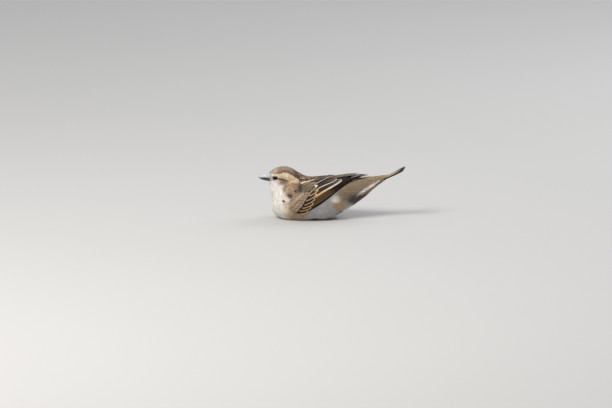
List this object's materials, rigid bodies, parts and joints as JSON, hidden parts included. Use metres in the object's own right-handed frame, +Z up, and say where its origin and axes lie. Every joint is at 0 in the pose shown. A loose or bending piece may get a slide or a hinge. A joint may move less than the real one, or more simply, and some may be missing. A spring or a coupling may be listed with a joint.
{
  "type": "house sparrow",
  "caption": "Small brown and buff songbird resting on its belly, wings folded, conical bill, tail raised behind.",
  "frame": {"origin": "on the floor, under the middle of the bird's bounding box", "axes": "+X from bill to tail, so the bird faces -X; +Y from the bird's left to its right; +Z up"},
  "size_m": [0.148, 0.0476, 0.0522],
  "materials": {
    "crown_feathers": "soft matte grey-brown feather",
    "throat_feathers": "soft matte pale grey-buff feather",
    "body_feathers": "soft matte grey-buff feather",
    "rump_feathers": "soft matte plain brown feather",
    "wing_coverts": "feather with dark centres and buff edges, faint sheen",
    "tertials": "feather with black-brown centres and broad rufous-buff edges",
    "flight_feathers": "smooth dark brown feather with narrow buff edges",
    "bill_horn": "smooth satin grey horn, paler below",
    "eye": "wet gloss dark brown",
    "leg_scales": "scaled dull pinkish brown skin",
    "claw_horn": "smooth dark brown horn"
  },
  "bodies": {
    "root": {"head": "crown_feathers", "neck": "throat_feathers", "trunk": "body_feathers", "rump": "rump_feathers", "tail": "flight_feathers", "bill_upper": "bill_horn", "bill_lower": "bill_horn", "eye_left": "eye", "wing_left_coverts": "wing_coverts", "wing_left_secondaries": "tertials", "wing_left_primaries": "flight_feathers", "leg_left_thigh": "body_feathers", "leg_left_tarsus": "leg_scales", "leg_left_foot": "leg_scales", "claw_left_hind": "claw_horn", "claw_left_inner": "claw_horn", "claw_left_middle": "claw_horn", "claw_left_outer": "claw_horn", "eye_right": "eye", "wing_right_coverts": "wing_coverts", "wing_right_secondaries": "tertials", "wing_right_primaries": "flight_feathers", "leg_right_thigh": "body_feathers", "leg_right_tarsus": "leg_scales", "leg_right_foot": "leg_scales", "claw_right_hind": "claw_horn", "claw_right_inner": "claw_horn", "claw_right_middle": "claw_horn", "claw_right_outer": "claw_horn"}
  },
  "joints": []
}
